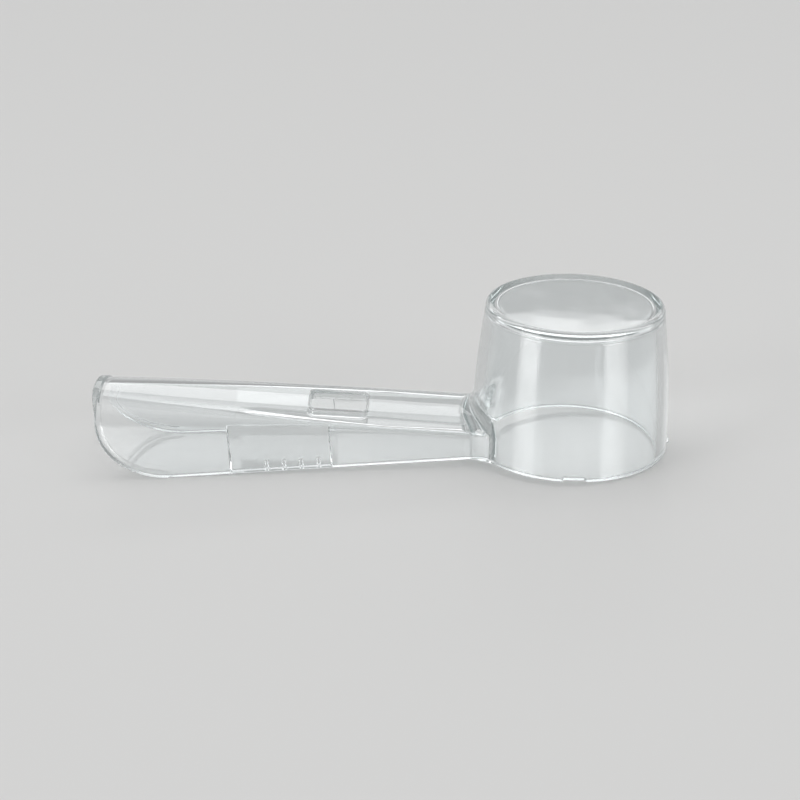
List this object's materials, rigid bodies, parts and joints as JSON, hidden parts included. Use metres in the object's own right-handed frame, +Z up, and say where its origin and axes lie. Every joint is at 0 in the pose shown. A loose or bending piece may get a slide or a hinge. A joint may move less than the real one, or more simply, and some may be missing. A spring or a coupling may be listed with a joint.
{
  "type": "toothbrush head cover",
  "caption": "Clear push-fit toothbrush head cover: a round cup for the bristles and an open channel with a crown slot for the neck.",
  "frame": {"origin": "middle of the object's footprint on the surface that it rests on", "axes": "+X from the channel's open end towards the cup, +Y to the left side, +Z up; the cover rests leaning by 2.7 degrees on the far side of the cup's rim and the ends of the channel's lower edges"},
  "size_m": [0.0616, 0.021, 0.0169],
  "materials": {
    "clear_plastic": "polished, water-clear"
  },
  "bodies": {
    "root": {"cup_top": "clear_plastic", "cup_wall": "clear_plastic", "cup_rim": "clear_plastic", "gate_stub": "clear_plastic", "neck_blend": "clear_plastic", "channel": "clear_plastic", "end_lip": "clear_plastic", "left_grip_pad": "clear_plastic", "right_grip_pad": "clear_plastic", "left_pad_ribs": "clear_plastic", "right_pad_ribs": "clear_plastic"}
  },
  "joints": []
}
